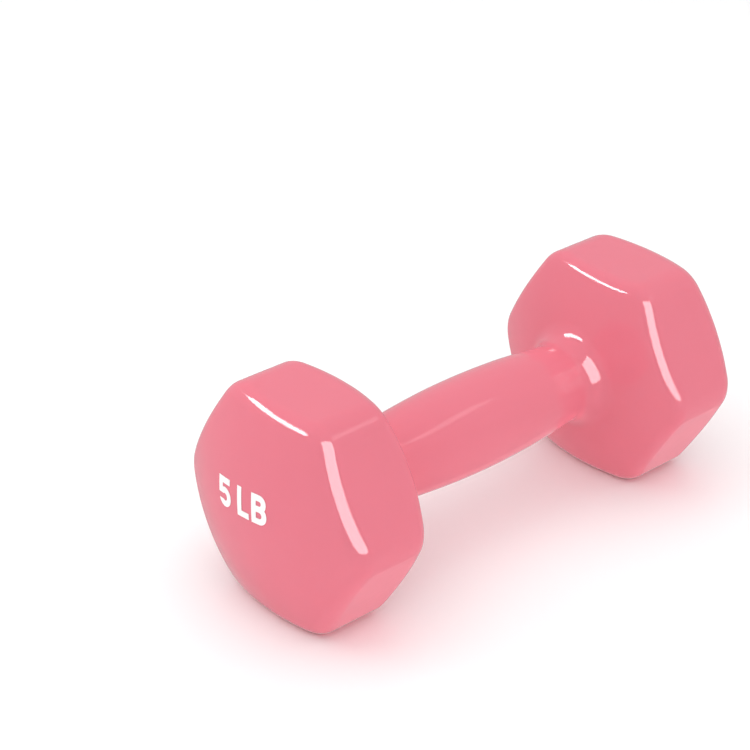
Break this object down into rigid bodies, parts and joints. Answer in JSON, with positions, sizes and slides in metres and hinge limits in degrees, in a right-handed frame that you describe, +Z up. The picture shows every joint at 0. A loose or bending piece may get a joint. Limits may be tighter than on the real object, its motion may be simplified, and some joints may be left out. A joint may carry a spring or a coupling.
{
  "type": "hexagonal hand weight",
  "caption": "Vinyl-dipped cast-iron dumbbell with domed hexagonal heads that stop it rolling and a barrel-shaped grip between them, for lifting exercises.",
  "frame": {"origin": "on the floor, under the middle of the grip", "axes": "+X along the grip towards the plugged end, +Z up, with the lowest flat of each head on the floor"},
  "size_m": [0.1771, 0.0784, 0.071],
  "materials": {
    "iron": "as cast, degreased and primed",
    "vinyl": "thick dipped vinyl, glossy, slightly soft",
    "plug": "moulded vinyl, satin",
    "ink": "white pad-printed ink"
  },
  "bodies": {
    "root": {"iron_core": "iron", "vinyl_coat": "vinyl", "hanger_plug": "plug", "front_numeral_five": "ink", "front_letter_l": "ink", "front_letter_b": "ink", "back_numeral_five": "ink", "back_letter_l": "ink", "back_letter_b": "ink"}
  },
  "joints": []
}
